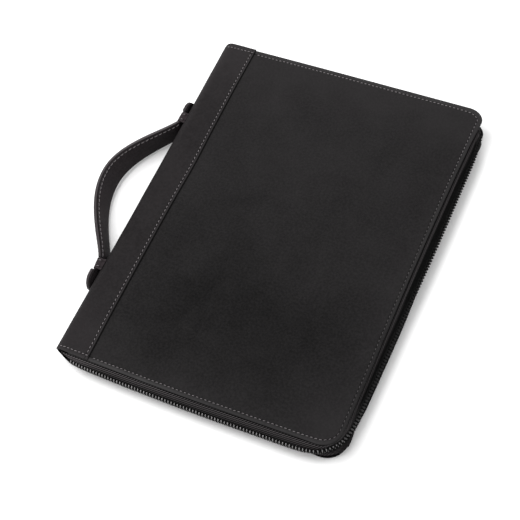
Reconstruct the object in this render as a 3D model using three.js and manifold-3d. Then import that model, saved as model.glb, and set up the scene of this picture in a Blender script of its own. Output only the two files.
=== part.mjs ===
// Zip-round leather tablet sleeve with a carry handle on its spine, lying on its back cover.
// Millimetres. +X from the spine to the free edge, +Y along the spine, +Z up.
import * as THREE from 'three';
import Module from 'manifold-3d';

// Case
const caseWidth = 254;
const caseLength = 344;
const caseDepth = 26;
const midDepth = caseDepth / 2;
const cornerRadius = 12.5;
const nearBow = 1.5;
const farBow = 0.8;
const seat = 0.3;

// Covers
const coverThick = 2.6;
const coverStart = 14;
const rimRoll = 1.1;

// Spine band
const bandWall = 1.3;
const bandBulge = 10;
const bandLeaf = 33;
const bandNotch = { wrap: 3.4, under: 4 };

// Zip
const tapeThick = 1;
const tapeLap = 7;
const chainHeight = 6;
const chainThick = 2.6;
const chainOut = { near: 4.6, free: 5.2, far: 3 };
const chainDive = { depth: 10.5, length: 9 };
const chainCorner = { depth: 4.6, length: 18, shift: 5 };
const tapeStart = 8;
const chainStart = 4;
const slider = { x: 24, length: 9, thick: 3.2, height: 5.6, pullLength: 22, pullWidth: 6.5, pullThick: 1.3 };

// Handle
const strapWidth = 21.2;
const strapThick = 4.4;
const strapEndThick = 3.4;
const handleShift = -1.7;
const strapRise = 35.5;
const strapLean = 17 * Math.PI / 180;
const archHalf = 75.5;
const archShape = { near: 1.1, far: 1.28 };
const archSkew = 6;
const neck = { width: 11, thick: 3, from: 76.1, to: 89 };
const stop = { width: 18, thick: 4.2, from: 89.6, tip: 103.3 };
const keeper = { wall: 1.7, from: 77.2, to: 87.8, footAngles: [56, 45] };

const frontTop = caseDepth - bandWall - seat;
const frontUnder = frontTop - coverThick;
const midWidth = caseWidth / 2;
const midLength = caseLength / 2;
const handleMiddle = midLength + handleShift;
const halfArc = cornerRadius * Math.PI / 4;
const cornerToCorner = caseLength - 2 * cornerRadius + 2 * halfArc;

const leather = new THREE.MeshStandardMaterial({ color: 0x2c2b2c, roughness: 0.7 });
const edgeLeather = new THREE.MeshStandardMaterial({ color: 0x343233, roughness: 0.7 });
const tapeCloth = new THREE.MeshStandardMaterial({ color: 0x1c1b1c, roughness: 0.9 });
const gunmetal = new THREE.MeshStandardMaterial({ color: 0x77787a, roughness: 0.35, metalness: 1 });

// Mesh helpers
function closedMesh(points, triangles) {
  let volume = 0;
  for (const [a, b, c] of triangles) {
    volume += points[a].dot(new THREE.Vector3().crossVectors(points[b], points[c]));
  }
  const faces = volume < 0 ? triangles.map(([a, b, c]) => [a, c, b]) : triangles;
  const geometry = new THREE.BufferGeometry();
  const flat = points.flatMap((p) => [p.x, p.y, p.z]);
  geometry.setAttribute('position', new THREE.Float32BufferAttribute(flat, 3));
  geometry.setIndex(faces.flat());
  return geometry;
}

// Solid through a row of closed rings, each end closed by a fan round its middle
function loft(rings) {
  const count = rings[0].length;
  const points = rings.flat();
  const triangles = [];
  for (let r = 0; r + 1 < rings.length; r++) {
    for (let i = 0; i < count; i++) {
      const j = (i + 1) % count;
      const low = r * count;
      const high = low + count;
      triangles.push([low + i, low + j, high + j], [low + i, high + j, high + i]);
    }
  }
  for (const [start, last] of [[0, false], [(rings.length - 1) * count, true]]) {
    const middle = new THREE.Vector3();
    for (let i = 0; i < count; i++) {
      middle.addScaledVector(points[start + i], 1 / count);
    }
    points.push(middle);
    for (let i = 0; i < count; i++) {
      const edge = [start + i, start + (i + 1) % count];
      triangles.push(last ? [edge[0], edge[1], points.length - 1] : [edge[1], edge[0], points.length - 1]);
    }
  }
  return closedMesh(points, triangles);
}

// Solid between two matching grids of points, walled along their borders
function sheet(faceA, faceB) {
  const rows = faceA.length;
  const columns = faceA[0].length;
  const points = [...faceA.flat(), ...faceB.flat()];
  const other = rows * columns;
  const triangles = [];
  for (let r = 0; r + 1 < rows; r++) {
    for (let c = 0; c + 1 < columns; c++) {
      const a = r * columns + c;
      const quad = [a, a + 1, a + columns + 1, a + columns];
      triangles.push([quad[0], quad[1], quad[2]], [quad[0], quad[2], quad[3]]);
      const back = quad.map((k) => k + other);
      triangles.push([back[0], back[2], back[1]], [back[0], back[3], back[2]]);
    }
  }
  const border = [];
  for (let c = 0; c < columns; c++) border.push(c);
  for (let r = 1; r < rows; r++) border.push(r * columns + columns - 1);
  for (let c = columns - 2; c >= 0; c--) border.push((rows - 1) * columns + c);
  for (let r = rows - 2; r > 0; r--) border.push(r * columns);
  border.forEach((a, i) => {
    const b = border[(i + 1) % border.length];
    triangles.push([a, a + other, b], [b, a + other, b + other]);
  });
  return closedMesh(points, triangles);
}

// Line of 2-D points moved sideways by a distance
function offsetLine(line, distance) {
  return line.map((p, i) => {
    const before = line[Math.max(i - 1, 0)];
    const after = line[Math.min(i + 1, line.length - 1)];
    const along = new THREE.Vector2().subVectors(after, before).normalize();
    return new THREE.Vector2(p.x - along.y * distance, p.y + along.x * distance);
  });
}

// Outline of the covers along the three free sides
function nearEdge(x) {
  return nearBow * Math.max(1 - x / midWidth, 0) ** 2;
}

function farEdge(x) {
  return caseLength - farBow * Math.max(1 - x / midWidth, 0) ** 2;
}

// Stations stand closer together towards the ends of each side; run is counted from the middle of the near corner
function freeSides(startX) {
  const stations = [];
  const cornerX = caseWidth - cornerRadius;
  const nearY = nearEdge(cornerX) + cornerRadius;
  const farY = farEdge(cornerX) - cornerRadius;
  const steps = 13;
  const shares = [];
  for (let i = 0; i < steps; i++) {
    shares.push(i / steps - 0.9 * Math.sin(2 * Math.PI * i / steps) / (2 * Math.PI));
  }
  for (const share of shares) {
    const x = THREE.MathUtils.lerp(startX, cornerX, share);
    stations.push({ x, y: nearEdge(x), nx: 0, ny: -1, turn: 0, run: x - cornerX - halfArc });
  }
  const arcSteps = 7;
  for (const far of [0, 1]) {
    const centreY = far ? farY : nearY;
    for (let i = 0; i <= arcSteps; i++) {
      const angle = (far + i / arcSteps - 1) * Math.PI / 2;
      const [nx, ny] = [Math.cos(angle), Math.sin(angle)];
      const point = { x: cornerX + cornerRadius * nx, y: centreY + cornerRadius * ny };
      const run = far * cornerToCorner + halfArc * (2 * i / arcSteps - 1);
      stations.push({ ...point, nx, ny, turn: far + i / arcSteps, run });
    }
    for (const share of far ? [] : shares.slice(1)) {
      const y = THREE.MathUtils.lerp(nearY, farY, share);
      stations.push({ x: caseWidth, y, nx: 1, ny: 0, turn: 1, run: y - nearY + halfArc });
    }
  }
  for (const share of shares.reverse()) {
    const x = THREE.MathUtils.lerp(startX, cornerX, share);
    stations.push({ x, y: farEdge(x), nx: 0, ny: 1, turn: 2, run: cornerToCorner + cornerX - x + halfArc });
  }
  return stations;
}

function outward(station, distance, z) {
  return new THREE.Vector3(station.x + station.nx * distance, station.y + station.ny * distance, z);
}

// Covers: flat plates with rolled free edges
function coverPlate(startX, under) {
  const roll = rimRoll;
  const profile = [
    [roll, 0], [roll * 0.29, roll * 0.29], [0, roll],
    [0, coverThick - roll], [roll * 0.29, coverThick - roll * 0.29], [roll, coverThick],
  ];
  const stations = freeSides(startX);
  return loft(profile.map(([inset, rise]) => stations.map((s) => outward(s, -inset, under + rise))));
}

const wasm = await Module();
wasm.setup();

function toManifold(geometry) {
  return new wasm.Manifold(new wasm.Mesh({
    numProp: 3,
    vertProperties: new Float32Array(geometry.getAttribute('position').array),
    triVerts: new Uint32Array(geometry.getIndex().array),
  }));
}

function fromManifold(solid) {
  const mesh = solid.getMesh();
  const points = [];
  for (let i = 0; i < mesh.vertProperties.length; i += mesh.numProp) {
    points.push(new THREE.Vector3().fromArray(mesh.vertProperties, i));
  }
  const triangles = [];
  for (let i = 0; i < mesh.triVerts.length; i += 3) {
    triangles.push([...mesh.triVerts.slice(i, i + 3)]);
  }
  return closedMesh(points, triangles);
}

function block(x, y, z) {
  const size = [x[1] - x[0], y[1] - y[0], z[1] - z[0]];
  return wasm.Manifold.cube(size, false).translate([x[0], y[0], z[0]]);
}

// The back cover lies flush with the band's back leaf, and a lap of it runs up over that leaf
function backCover() {
  const lapEnd = tapeLap + 4;
  const flatStart = bandLeaf + seat;
  const lapUnder = bandWall + seat;
  const lapTop = lapUnder + coverThick;
  const yRange = [lapEnd, caseLength - lapEnd];
  const lap = block([coverStart, flatStart + 4], yRange, [lapUnder, lapTop]);
  return fromManifold(toManifold(coverPlate(flatStart, 0)).add(lap));
}

// Spine band: front leaf, half-oval wrap and back leaf, with ends that slope inward where the zip runs in
function bandProfile(wall) {
  const profile = [[bandLeaf, caseDepth - wall]];
  const steps = 16;
  for (let i = 0; i <= steps; i++) {
    const angle = (0.5 - i / steps) * Math.PI;
    profile.push([
      bandBulge - (bandBulge - wall) * Math.cos(angle),
      midDepth + (midDepth - wall) * Math.sin(angle),
    ]);
  }
  profile.push([bandLeaf, wall]);
  return profile;
}

function bandSlope(x, z) {
  const drop = 1 - z / caseDepth;
  const wrap = bandNotch.wrap * THREE.MathUtils.smoothstep(drop, 0.05, 0.6);
  const leaf = bandNotch.under * (bandLeaf - x) / bandLeaf;
  return THREE.MathUtils.lerp(wrap, leaf, THREE.MathUtils.smoothstep(drop, 0.5, 1));
}

function spineBand() {
  const face = (wall) => bandProfile(wall).map(([x, z]) => {
    const slope = z > caseDepth - 2 * bandWall ? 0 : bandSlope(x, z);
    return [
      new THREE.Vector3(x, nearEdge(x) + slope, z),
      new THREE.Vector3(x, farEdge(x) - slope, z),
    ];
  });
  return sheet(face(0), face(bandWall));
}

// Zip: the chain stands out from the covers and runs inward at the spine, the tapes meeting behind it
function chainOffset(station) {
  const { near, free, far } = chainOut;
  const straight = station.turn < 1
    ? THREE.MathUtils.lerp(near, free, station.turn)
    : THREE.MathUtils.lerp(free, far, station.turn - 1);
  const atSpine = chainDive.depth * Math.exp(-(station.x - 1.5) / chainDive.length);
  const fromNear = (station.run - chainCorner.shift) / chainCorner.length;
  const fromFar = (station.run - cornerToCorner) / chainCorner.length;
  const atCorners = chainCorner.depth * (Math.exp(-(fromNear ** 2)) + Math.exp(-(fromFar ** 2)));
  return straight - atSpine - atCorners;
}

function zipTape(rimZ, chainZ) {
  const half = tapeThick / 2;
  const away = Math.sign(chainZ - rimZ);
  const startZ = rimZ + away * (seat + half);
  const bendZ = chainZ - away * (chainHeight / 2 + 0.4);
  const endZ = chainZ - away * 0.5;
  const faces = [half, -half].map((side) => freeSides(tapeStart).map((station) => {
    const behind = chainOffset(station) - chainThick / 2 - seat - half;
    const line = [
      new THREE.Vector2(-tapeLap, startZ),
      new THREE.Vector2(-2.2, startZ),
      new THREE.Vector2(THREE.MathUtils.lerp(-1.4, behind, 0.5), THREE.MathUtils.lerp(startZ, bendZ, 0.4)),
      new THREE.Vector2(behind, bendZ),
      new THREE.Vector2(behind, endZ),
    ];
    return offsetLine(line, side).map((p) => outward(station, p.x, p.y));
  }));
  return sheet(faces[0], faces[1]);
}

function zipChain() {
  const wide = chainThick / 2;
  const tall = chainHeight / 2;
  const bevel = 0.7;
  const section = [
    [wide, tall - bevel], [wide - bevel, tall], [bevel - wide, tall], [-wide, tall - bevel],
    [-wide, bevel - tall], [bevel - wide, -tall], [wide - bevel, -tall], [wide, bevel - tall],
  ];
  const endX = slider.x + slider.length / 2 + seat;
  const inSpine = { x: chainStart, y: nearEdge(chainStart), nx: 0, ny: -1, turn: 0, run: -caseWidth };
  const stations = [inSpine, ...freeSides(tapeStart).filter((s) => s.turn < 2 || s.x > endX)];
  stations.push({ x: endX, y: farEdge(endX), nx: 0, ny: 1, turn: 2, run: cornerToCorner + caseWidth });
  return loft(stations.map((s) => {
    const middle = chainOffset(s);
    return section.map(([out, up]) => outward(s, middle + out, midDepth + up));
  }));
}

// Slider and pull at the far end of the closed chain
function zipSlider() {
  const station = { x: slider.x, turn: 2, run: cornerToCorner + caseWidth };
  const bodyY = farEdge(slider.x) + chainOffset(station);
  const half = slider.length / 2;
  const pullY = caseLength + chainOut.far + chainThick / 2 + seat;
  const pullZ = [midDepth - slider.pullWidth, midDepth - 0.4];
  const body = block(
    [slider.x - half, slider.x + half],
    [bodyY - slider.thick / 2 + 0.6, bodyY + slider.thick / 2 + 0.6],
    [midDepth - slider.height / 2, midDepth + slider.height / 2],
  );
  const lug = block([slider.x - 2, slider.x + 2], [bodyY, pullY + 0.2], [midDepth - 3, midDepth - 0.8]);
  const pull = block([slider.x - 3, slider.x - 3 + slider.pullLength], [pullY, pullY + slider.pullThick], pullZ);
  return fromManifold(body.add(lug).add(pull));
}

// Handle strap: an arch off the spine, a neck under each keeper and a rounded stop at each end
function archShare(along) {
  const side = (along - archSkew) / (archHalf - Math.sign(along - archSkew) * archSkew);
  const shape = side < 0 ? archShape.near : archShape.far;
  return Math.abs(side) >= 1 ? 0 : Math.cos(side * Math.PI / 2) ** shape;
}

function strapStations() {
  const half = [];
  const stopRadius = stop.width / 2;
  for (const turn of [0.15, 0.4, 0.7, 1.0, 1.3, Math.PI / 2]) {
    half.push({
      along: stop.tip - stopRadius + stopRadius * Math.cos(turn),
      width: stop.width * Math.sin(turn),
      thick: stop.thick,
    });
  }
  half.push({ along: stop.from, width: stop.width, thick: stop.thick });
  half.push({ along: neck.to, width: neck.width, thick: neck.thick });
  half.push({ along: neck.from, width: neck.width, thick: neck.thick });
  const archSteps = 11;
  for (let i = 0; i < archSteps; i++) {
    const thick = THREE.MathUtils.lerp(strapEndThick, strapThick, Math.min(3 * i / archSteps, 1));
    half.push({ along: archHalf * (1 - i / archSteps), width: strapWidth, thick });
  }
  const middle = { along: 0, width: strapWidth, thick: strapThick };
  const mirrored = half.map((s) => ({ ...s, along: -s.along }));
  return [...half, middle, ...mirrored.reverse()];
}

function strapRing({ along, width, thick }) {
  const share = archShare(along);
  const slope = -strapRise * (archShare(along + 0.5) - archShare(along - 0.5));
  const out = new THREE.Vector2(-1, slope).normalize();
  const lean = strapLean * share ** 0.6;
  const bevel = Math.min(1.1, thick * 0.3, width * 0.3);
  const deep = thick / 2;
  const wide = width / 2;
  const section = [
    [-deep, bevel - wide], [-deep, wide - bevel], [-deep + bevel * 0.3, wide - bevel * 0.3], [bevel - deep, wide],
    [deep - bevel, wide], [deep - bevel * 0.3, wide - bevel * 0.3], [deep, wide - bevel], [deep, bevel - wide],
    [deep - bevel * 0.3, bevel * 0.3 - wide], [deep - bevel, -wide], [bevel - deep, -wide],
    [-deep + bevel * 0.3, bevel * 0.3 - wide],
  ];
  return section.map(([outer, up]) => {
    const away = deep + outer * Math.cos(lean) + up * Math.sin(lean);
    const z = midDepth - outer * Math.sin(lean) + up * Math.cos(lean);
    const x = -seat - strapRise * share + out.x * away;
    return new THREE.Vector3(x, handleMiddle + along + out.y * away, z);
  });
}

function handleStrap() {
  return loft(strapStations().map(strapRing));
}

// Keeper: a loop of leather over the neck of the strap, its feet lying on the spine band
function handleKeeper(side) {
  const upper = keeper.footAngles.map((degrees) => {
    const angle = THREE.MathUtils.degToRad(degrees);
    const x = bandBulge - (bandBulge + seat) * Math.cos(angle);
    return new THREE.Vector2(x, (midDepth + seat) * Math.sin(angle));
  });
  const faceX = -2 * seat - neck.thick;
  const faceZ = neck.width / 2 + seat;
  upper.push(new THREE.Vector2(faceX + 1.1, faceZ + 0.3));
  upper.push(new THREE.Vector2(faceX + 0.25, faceZ - 0.5));
  upper.push(new THREE.Vector2(faceX, faceZ - 1.8));
  const lower = upper.map((p) => new THREE.Vector2(p.x, -p.y)).reverse();
  const inner = [...upper, ...lower];
  const ends = [keeper.from, keeper.to].map((along) => handleMiddle + side * along);
  const face = (line) => line.map((p) => ends.map((y) => new THREE.Vector3(p.x, y, midDepth + p.y)));
  return sheet(face(inner), face(offsetLine(inner, -keeper.wall)));
}

// Assembly, moved so that the origin is under the middle of the whole object
const object = new THREE.Group();
function add(name, geometry, material) {
  const mesh = new THREE.Mesh(geometry, material);
  mesh.name = name;
  object.add(mesh);
}

add('front_cover', coverPlate(coverStart, frontUnder), leather);
add('back_cover', backCover(), leather);
add('spine_band', spineBand(), edgeLeather);
add('zip_tape_front', zipTape(frontUnder, midDepth), tapeCloth);
add('zip_tape_back', zipTape(coverThick, midDepth), tapeCloth);
add('zip_chain', zipChain(), gunmetal);
add('zip_slider', zipSlider(), gunmetal);
add('handle_strap', handleStrap(), leather);
add('handle_keeper_near', handleKeeper(-1), edgeLeather);
add('handle_keeper_far', handleKeeper(1), edgeLeather);

const box = new THREE.Box3().setFromObject(object);
const middle = box.getCenter(new THREE.Vector3());
for (const mesh of object.children) {
  mesh.geometry.translate(-middle.x, -middle.y, -box.min.z);
  mesh.geometry.computeVertexNormals();
}

export default object;
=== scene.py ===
"""Leather tablet sleeve: sewn leather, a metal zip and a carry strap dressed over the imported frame."""
import math
from types import SimpleNamespace as Sizes

import bmesh
import bpy
import numpy as np
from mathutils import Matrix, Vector


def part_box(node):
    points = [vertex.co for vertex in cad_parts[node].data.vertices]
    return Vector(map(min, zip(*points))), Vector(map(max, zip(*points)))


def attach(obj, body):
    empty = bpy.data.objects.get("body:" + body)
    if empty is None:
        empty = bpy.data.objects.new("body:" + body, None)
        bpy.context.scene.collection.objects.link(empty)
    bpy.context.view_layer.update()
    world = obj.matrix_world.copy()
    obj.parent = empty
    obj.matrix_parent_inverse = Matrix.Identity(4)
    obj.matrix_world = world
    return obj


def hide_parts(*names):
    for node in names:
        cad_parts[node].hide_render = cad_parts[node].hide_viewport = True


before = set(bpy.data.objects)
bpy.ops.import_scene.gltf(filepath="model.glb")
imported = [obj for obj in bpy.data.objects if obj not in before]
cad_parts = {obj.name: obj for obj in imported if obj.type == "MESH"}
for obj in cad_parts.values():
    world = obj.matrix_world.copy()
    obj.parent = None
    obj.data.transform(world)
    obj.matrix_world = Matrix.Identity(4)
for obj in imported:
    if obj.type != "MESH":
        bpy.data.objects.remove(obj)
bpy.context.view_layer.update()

# Case, in millimetres: x from the spine's outermost line, y from the near edge, z from the table
MM = 0.001
CASE_WIDTH = 252.25
CASE_LENGTH = 345.0
CASE_DEPTH = 26.0
MID_Z = CASE_DEPTH / 2
CORNER = 16.2
FAR_CORNER = 12.2
NEAR_BOW = 1.5
NEAR_SWELL = Sizes(out=0.5, start=40.0)
FAR_BOW = 0.8
FREE_BOW = Sizes(out=1.3, middle=190.0, reach=115.0, most=1.25)
FREE_END = Sizes(out=0.8, start=305.0, end=335.0)
SEAT = 0.3
HALF_ARC = CORNER * math.pi / 4
FAR_ARC = FAR_CORNER * math.pi / 4
FREE_RUN = CASE_LENGTH - CORNER - FAR_CORNER + HALF_ARC + FAR_ARC
FINE_STEP = 1.25

# Covers. Waves: height, length along x, length along y, phase. Patches: x, reach, y, reach, tone.
COVER_THICK = 2.6
COVER_START = 14.0
COVER_ROLL = 1.3
COVER_PUFF = Sizes(high=0.45, full=26.0)
COVER_WAVES = [(0.1, 31, 43, 1), (0.07, 14, -19, 0)]
# The two patches by the near corners are painted glows of light.
COVER_PATCHES = [(146, 100, 80, 58, -0.5), (40, 26, 12, 24, 0.35), (238, 24, 12, 24, 0.35)]
# Painted sheen: the covers pale towards the far end, where the light's sheen falls. Rows: start, end,
# change.
COVER_PAINTED_SHEEN = [(160, 330, 0.18), (290, 335, 0.3)]
BACK_RELIEF = 0.45
WELL_INSIDE = 60.0
# Rims: rubbed, and lit by a painted highlight that is stronger on the near and far sides than on the free
# side.
RIM_WEAR_AND_HIGHLIGHT = Sizes(near=0.5, free=0.25, far=0.45)

# Spine band. Wander: place along the case, reach, distance. Tone: start, end, change.
BAND_WALL = 1.3
BAND_BULGE = 10.0
BAND_LEAF = 33.0
BAND_NOTCH = Sizes(wrap=3.05, under=3.4, reach=12.5)
BAND_END = 60.0
BAND_SKIVE = Sizes(deep=0.45, reach=15.0)
BAND_PAINT = 1.0
BAND_WAVES = [(0.12, 17, 9, 0), (0.08, 7.3, -13, 0)]
BAND_TONE = [(8, 60, -0.7), (260, 335, 0.3), (300, 335, 0.2)]
BAND_STEP = 1.5
SPINE_BOW = Sizes(out=1.1, middle=150.0, reach=180.0, depth=12.0)
LEAF_TRIM = Sizes(back=0.45, reach=16.0)
LEAF_WANDER = [(208, 32, -1.0), (0, 30, -0.8), (300, 30, 0.3)]
FRONT_TOP = CASE_DEPTH - BAND_WALL - SEAT
FRONT_UNDER = FRONT_TOP - COVER_THICK

# Zip
TAPE_THICK = 1.0
TAPE_LAP = 7.0
TAPE_START = 8.0
TAPE_SLANT = Sizes(drawn=7.5, end=45.0)
TAPE_DIP = 1.6
TAPE_BULGE = Sizes(start=45.0, end=30.0, far=0.3)
TAPE_BACK = Sizes(near=0.0, free=1.6, far=0.0)
RIB_PITCH = 2.57
RIB_LEAN = 1.25
RIB_DEPTH = 0.3
CHAIN_HEIGHT = 6.0
CHAIN_THICK = 2.6
CHAIN_START = 14.5
CHAIN_OUT = Sizes(near=5.8, free=6.35, far=3.0)
CHAIN_DIVE = Sizes(start=1.5, depth=9.0, length=7.0, slow=2.4, slow_length=60.0)
CHAIN_BOW = Sizes(near=1.6, far=0.5, middle=0.42, reach=120.0, most=1.3)
CHAIN_CORNER = Sizes(near=5.0, length=15.5, far=6.0, far_start=(-22, -9), far_end=(25, 60))
FOLD = Sizes(out=3.4, flare=1.9, past=7.2, length=21.0)
FAR_FOLD = Sizes(out=3.8, flare=1.5, past=4.0, flare_past=2.0, length=16.0)
SLACK = Sizes(out=1.0, tuck=1.4, taut=(120, 230), far=(-50, -22))
TOOTH_PITCH = Sizes(near=2.81, free=2.96)
TOOTH_LEAN = Sizes(near=28.0, free=-30.0, far=5.0)
TOOTH_WIDE = Sizes(near=1.0, free=1.3, far=1.0)
TOOTH_CORNER = 0.28
# Painted shine of the teeth by side: lit on the near side, nearly black on the free side, the lower row
# dimmer than the upper.
UPPER_PAINTED_SHINE = Sizes(near=1.0, free=0.02, far=0.4, corner=0.36)
LOWER_PAINTED_SHINE = Sizes(near=0.3, free=0.02, far=0.4, corner=0.3)
SLIDER = Sizes(x=24.0, length=9.0, thick=3.2, height=5.6, plate=1.0, bevel=0.3)
PULL = Sizes(length=22.0, width=6.1, thick=1.3, drop=6.5, back=3.0, round=2.4, rim=1.5)

# Handle
STRAP_WIDTH = 21.8
STRAP_THICK = 4.4
STRAP_PAD = Sizes(high=0.8, end=70.0)
STRAP_END_THICK = 3.4
HANDLE_MIDDLE = CASE_LENGTH / 2 - 2.2
STRAP_RISE = 36.4
STRAP_LEAN = math.radians(22.1)
END_LEAN = Sizes(near=math.radians(10.7), far=0.0, reach=40.0)
ARCH_HALF = 75.5
ARCH_SHAPE = Sizes(near=1.138, far=1.114)
ARCH_SKEW = 7.4
NECK = Sizes(width=17.0, thick=2.6, start=76.9, end=88.8)
STOP = Sizes(width=21.5, thick=4.2, shoulder=89.8, tip=104.2, round=9.0)
KEEPER = Sizes(wall=1.7, draw=1.2, start=77.2, end=87.8, foot_angles=(52, 43), points=49)

# Stitching. Rim bends: place along the run, reach, depth.
STITCH_PITCH = Sizes(near=3.66, free=3.95)
STITCH_LENGTH = 2.2
THREAD = 0.68
RIM_STITCH = Sizes(near=3.55, free=3.2, far=4.8)
RIM_BENDS = [(-6, 10, 0.65), (165, 50, -0.5), (FREE_RUN, 9, 0.8), (FREE_RUN - 14, 20, 0.8)]
RIM_EASE = Sizes(past=42.0, reach=50.0, depth=0.25, start=20.0)
ROW_DULL = Sizes(near=0.22, free=0.84, far=0.0)
BAND_STITCH = 2.75
STRAP_STITCH = 2.3
STRAP_PITCH = 4.4
STRAP_ROW_HALF = 75.0
KEEPER_STITCH = 2.4
KEEPER_PITCH = 3.0
CHANNEL = 0.4
CHANNEL_WIDTH = 0.62

# Camera, floor and light, in metres
CAMERA_PLACE = (0.3693, -0.5353, 0.9978)
CAMERA_TURN = (31.45, 6.79, 24.01)
CAMERA_LENS = 94.6
CAMERA_SENSOR = 36
FLOOR_SIZE = 8.0
FLOOR_DROP = 0.0002
SOFTBOX = Sizes(place=(-0.78, -0.16, 1.58), size=1.4, power=27.2)
BACK_LIGHT = Sizes(place=(-0.3, 1.6, 1.0), size=0.8, power=8)
SKY = 0.97

cover_low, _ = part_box("front_cover")
SHIFT = np.array([cover_low.x / MM - COVER_START, cover_low.y / MM, 0.0])
rng = np.random.default_rng(11)


# Number helpers
def smooth(low, high, value):
    share = np.clip((value - low) / (high - low), 0.0, 1.0)
    return share * share * (3 - 2 * share)


def fade(low, high, value):
    return 1 - smooth(low, high, value)


def lerp(a, b, share):
    return a + (b - a) * share


def eased(rows):
    """Rows of numbers with each one drawn towards its neighbours, the ends kept."""
    middle = (rows[:, :-2] + 2 * rows[:, 1:-1] + rows[:, 2:]) / 4
    return np.concatenate([rows[:, :1], middle, rows[:, -1:]], 1)


def bell(value, width):
    return np.exp(-(value / width) ** 2)


def bells(value, rows):
    """Sum of bells, a row for each one's middle, reach and height."""
    return sum(height * bell(value - middle, reach) for middle, reach, height in rows)


def ramps(value, rows):
    """Sum of smooth steps, a row for each one's start, end and height."""
    return sum(height * smooth(start, end, value) for start, end, height in rows)


def waves(u, v, rows):
    """Sum of slow waves, a row for each one's height, two lengths and phase."""
    return sum(height * np.sin(u / first + v / second + phase) for height, first, second, phase in rows)


def pulled(count):
    """Share of a sewn channel's depth: full at each stitch, less between two."""
    return 0.75 + 0.25 * np.cos(2 * math.pi * count)


def rounding(distance, radius):
    """Share of a sheet's thickness that is left near its rounded edge."""
    inner = 1 - np.clip(distance / radius, 0.0, 1.0)
    return 0.2 + 0.8 * np.sqrt(1 - inner ** 2)


# Mesh helpers
def loop_faces(count, low, high):
    """Faces between two closed loops of as many points, which start at the numbers low and high."""
    ring = np.arange(count)
    after = (ring + 1) % count
    return np.stack([low + ring, low + after, high + after, high + ring], 1).tolist()


def loft(rings):
    """Points and faces of a skin through closed rings, each end closed by a fan."""
    rows, count = rings.shape[:2]
    points = np.concatenate([rings.reshape(-1, 3), rings[:1].mean(1), rings[-1:].mean(1)])
    faces = []
    for r in range(rows - 1):
        faces += loop_faces(count, r * count, (r + 1) * count)
    ring = np.arange(count)
    after = (ring + 1) % count
    last = (rows - 1) * count
    faces += stacked(after, ring, rows * count).tolist()
    faces += stacked(last + ring, last + after, rows * count + 1).tolist()
    return points, faces


def sheet(outer, inner):
    """Points and faces of the solid between two matching grids, walled along the border."""
    rows, columns = outer.shape[:2]
    points = np.concatenate([outer.reshape(-1, 3), inner.reshape(-1, 3)])
    index = np.arange(rows * columns).reshape(rows, columns)
    quads = np.stack([index[:-1, :-1], index[:-1, 1:], index[1:, 1:], index[1:, :-1]], -1).reshape(-1, 4)
    back = quads[:, ::-1] + rows * columns
    edge = np.concatenate([index[0, :], index[1:, -1], index[-1, -2::-1], index[-2:0:-1, 0]])
    after = np.roll(edge, -1)
    wall = np.stack([after, edge, edge + rows * columns, after + rows * columns], 1)
    return points, np.concatenate([quads, back, wall]).tolist()


def stamp(template, faces, place, axes):
    """Copies of a small shape, one at each place, its coordinates laid along the three axes there."""
    points = place[:, None, :] + sum(template[None, :, k, None] * axes[k][:, None, :] for k in range(3))
    count = len(template)
    copies = [[k + count * i for k in face] for i in range(len(place)) for face in faces]
    return points.reshape(-1, 3), copies


def join(shapes):
    points, faces = [], []
    start = 0
    for shape_points, shape_faces in shapes:
        points.append(shape_points)
        faces += [[k + start for k in face] for face in shape_faces]
        start += len(shape_points)
    return np.concatenate(points), faces


# Points and paths
def stacked(*columns):
    """Points from columns of numbers, spread to one shape."""
    return np.stack(np.broadcast_arrays(*columns), -1)


def unit(vectors):
    return vectors / np.linalg.norm(vectors, axis=1, keepdims=True)


def lengths(path):
    """Length run along a path at each of its points."""
    return np.concatenate([[0], np.cumsum(np.linalg.norm(np.diff(path, axis=0), axis=1))])


def read_off(at, run, values):
    """Values along a path, column by column, at the lengths given."""
    return np.stack([np.interp(at, run, column) for column in values.T], 1)


# Objects
def show(name, data):
    """An object in the scene that holds the data."""
    obj = bpy.data.objects.new(name, data)
    bpy.context.scene.collection.objects.link(obj)
    return obj


def piece(name, shape, material, nodes=(), slot=None, **attributes):
    """A mesh in metres that rides on the body, with one number for each point in each attribute."""
    points, faces = shape
    mesh = bpy.data.meshes.new(name)
    mesh.from_pydata(((points + SHIFT) * MM).tolist(), [], faces)
    for key, values in attributes.items():
        layer = mesh.attributes.new(key, "FLOAT", "POINT")
        full = np.zeros(len(points), np.float32)
        full[:np.size(values)] = np.ravel(values)
        layer.data.foreach_set("value", full)
    bm = bmesh.new()
    bm.from_mesh(mesh)
    bmesh.ops.recalc_face_normals(bm, faces=bm.faces)
    bm.to_mesh(mesh)
    bm.free()
    mesh.polygons.foreach_set("use_smooth", [True] * len(mesh.polygons))
    mesh.materials.append(material)
    obj = show(name, mesh)
    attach(obj, "root")
    if nodes:
        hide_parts(*nodes)


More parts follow.
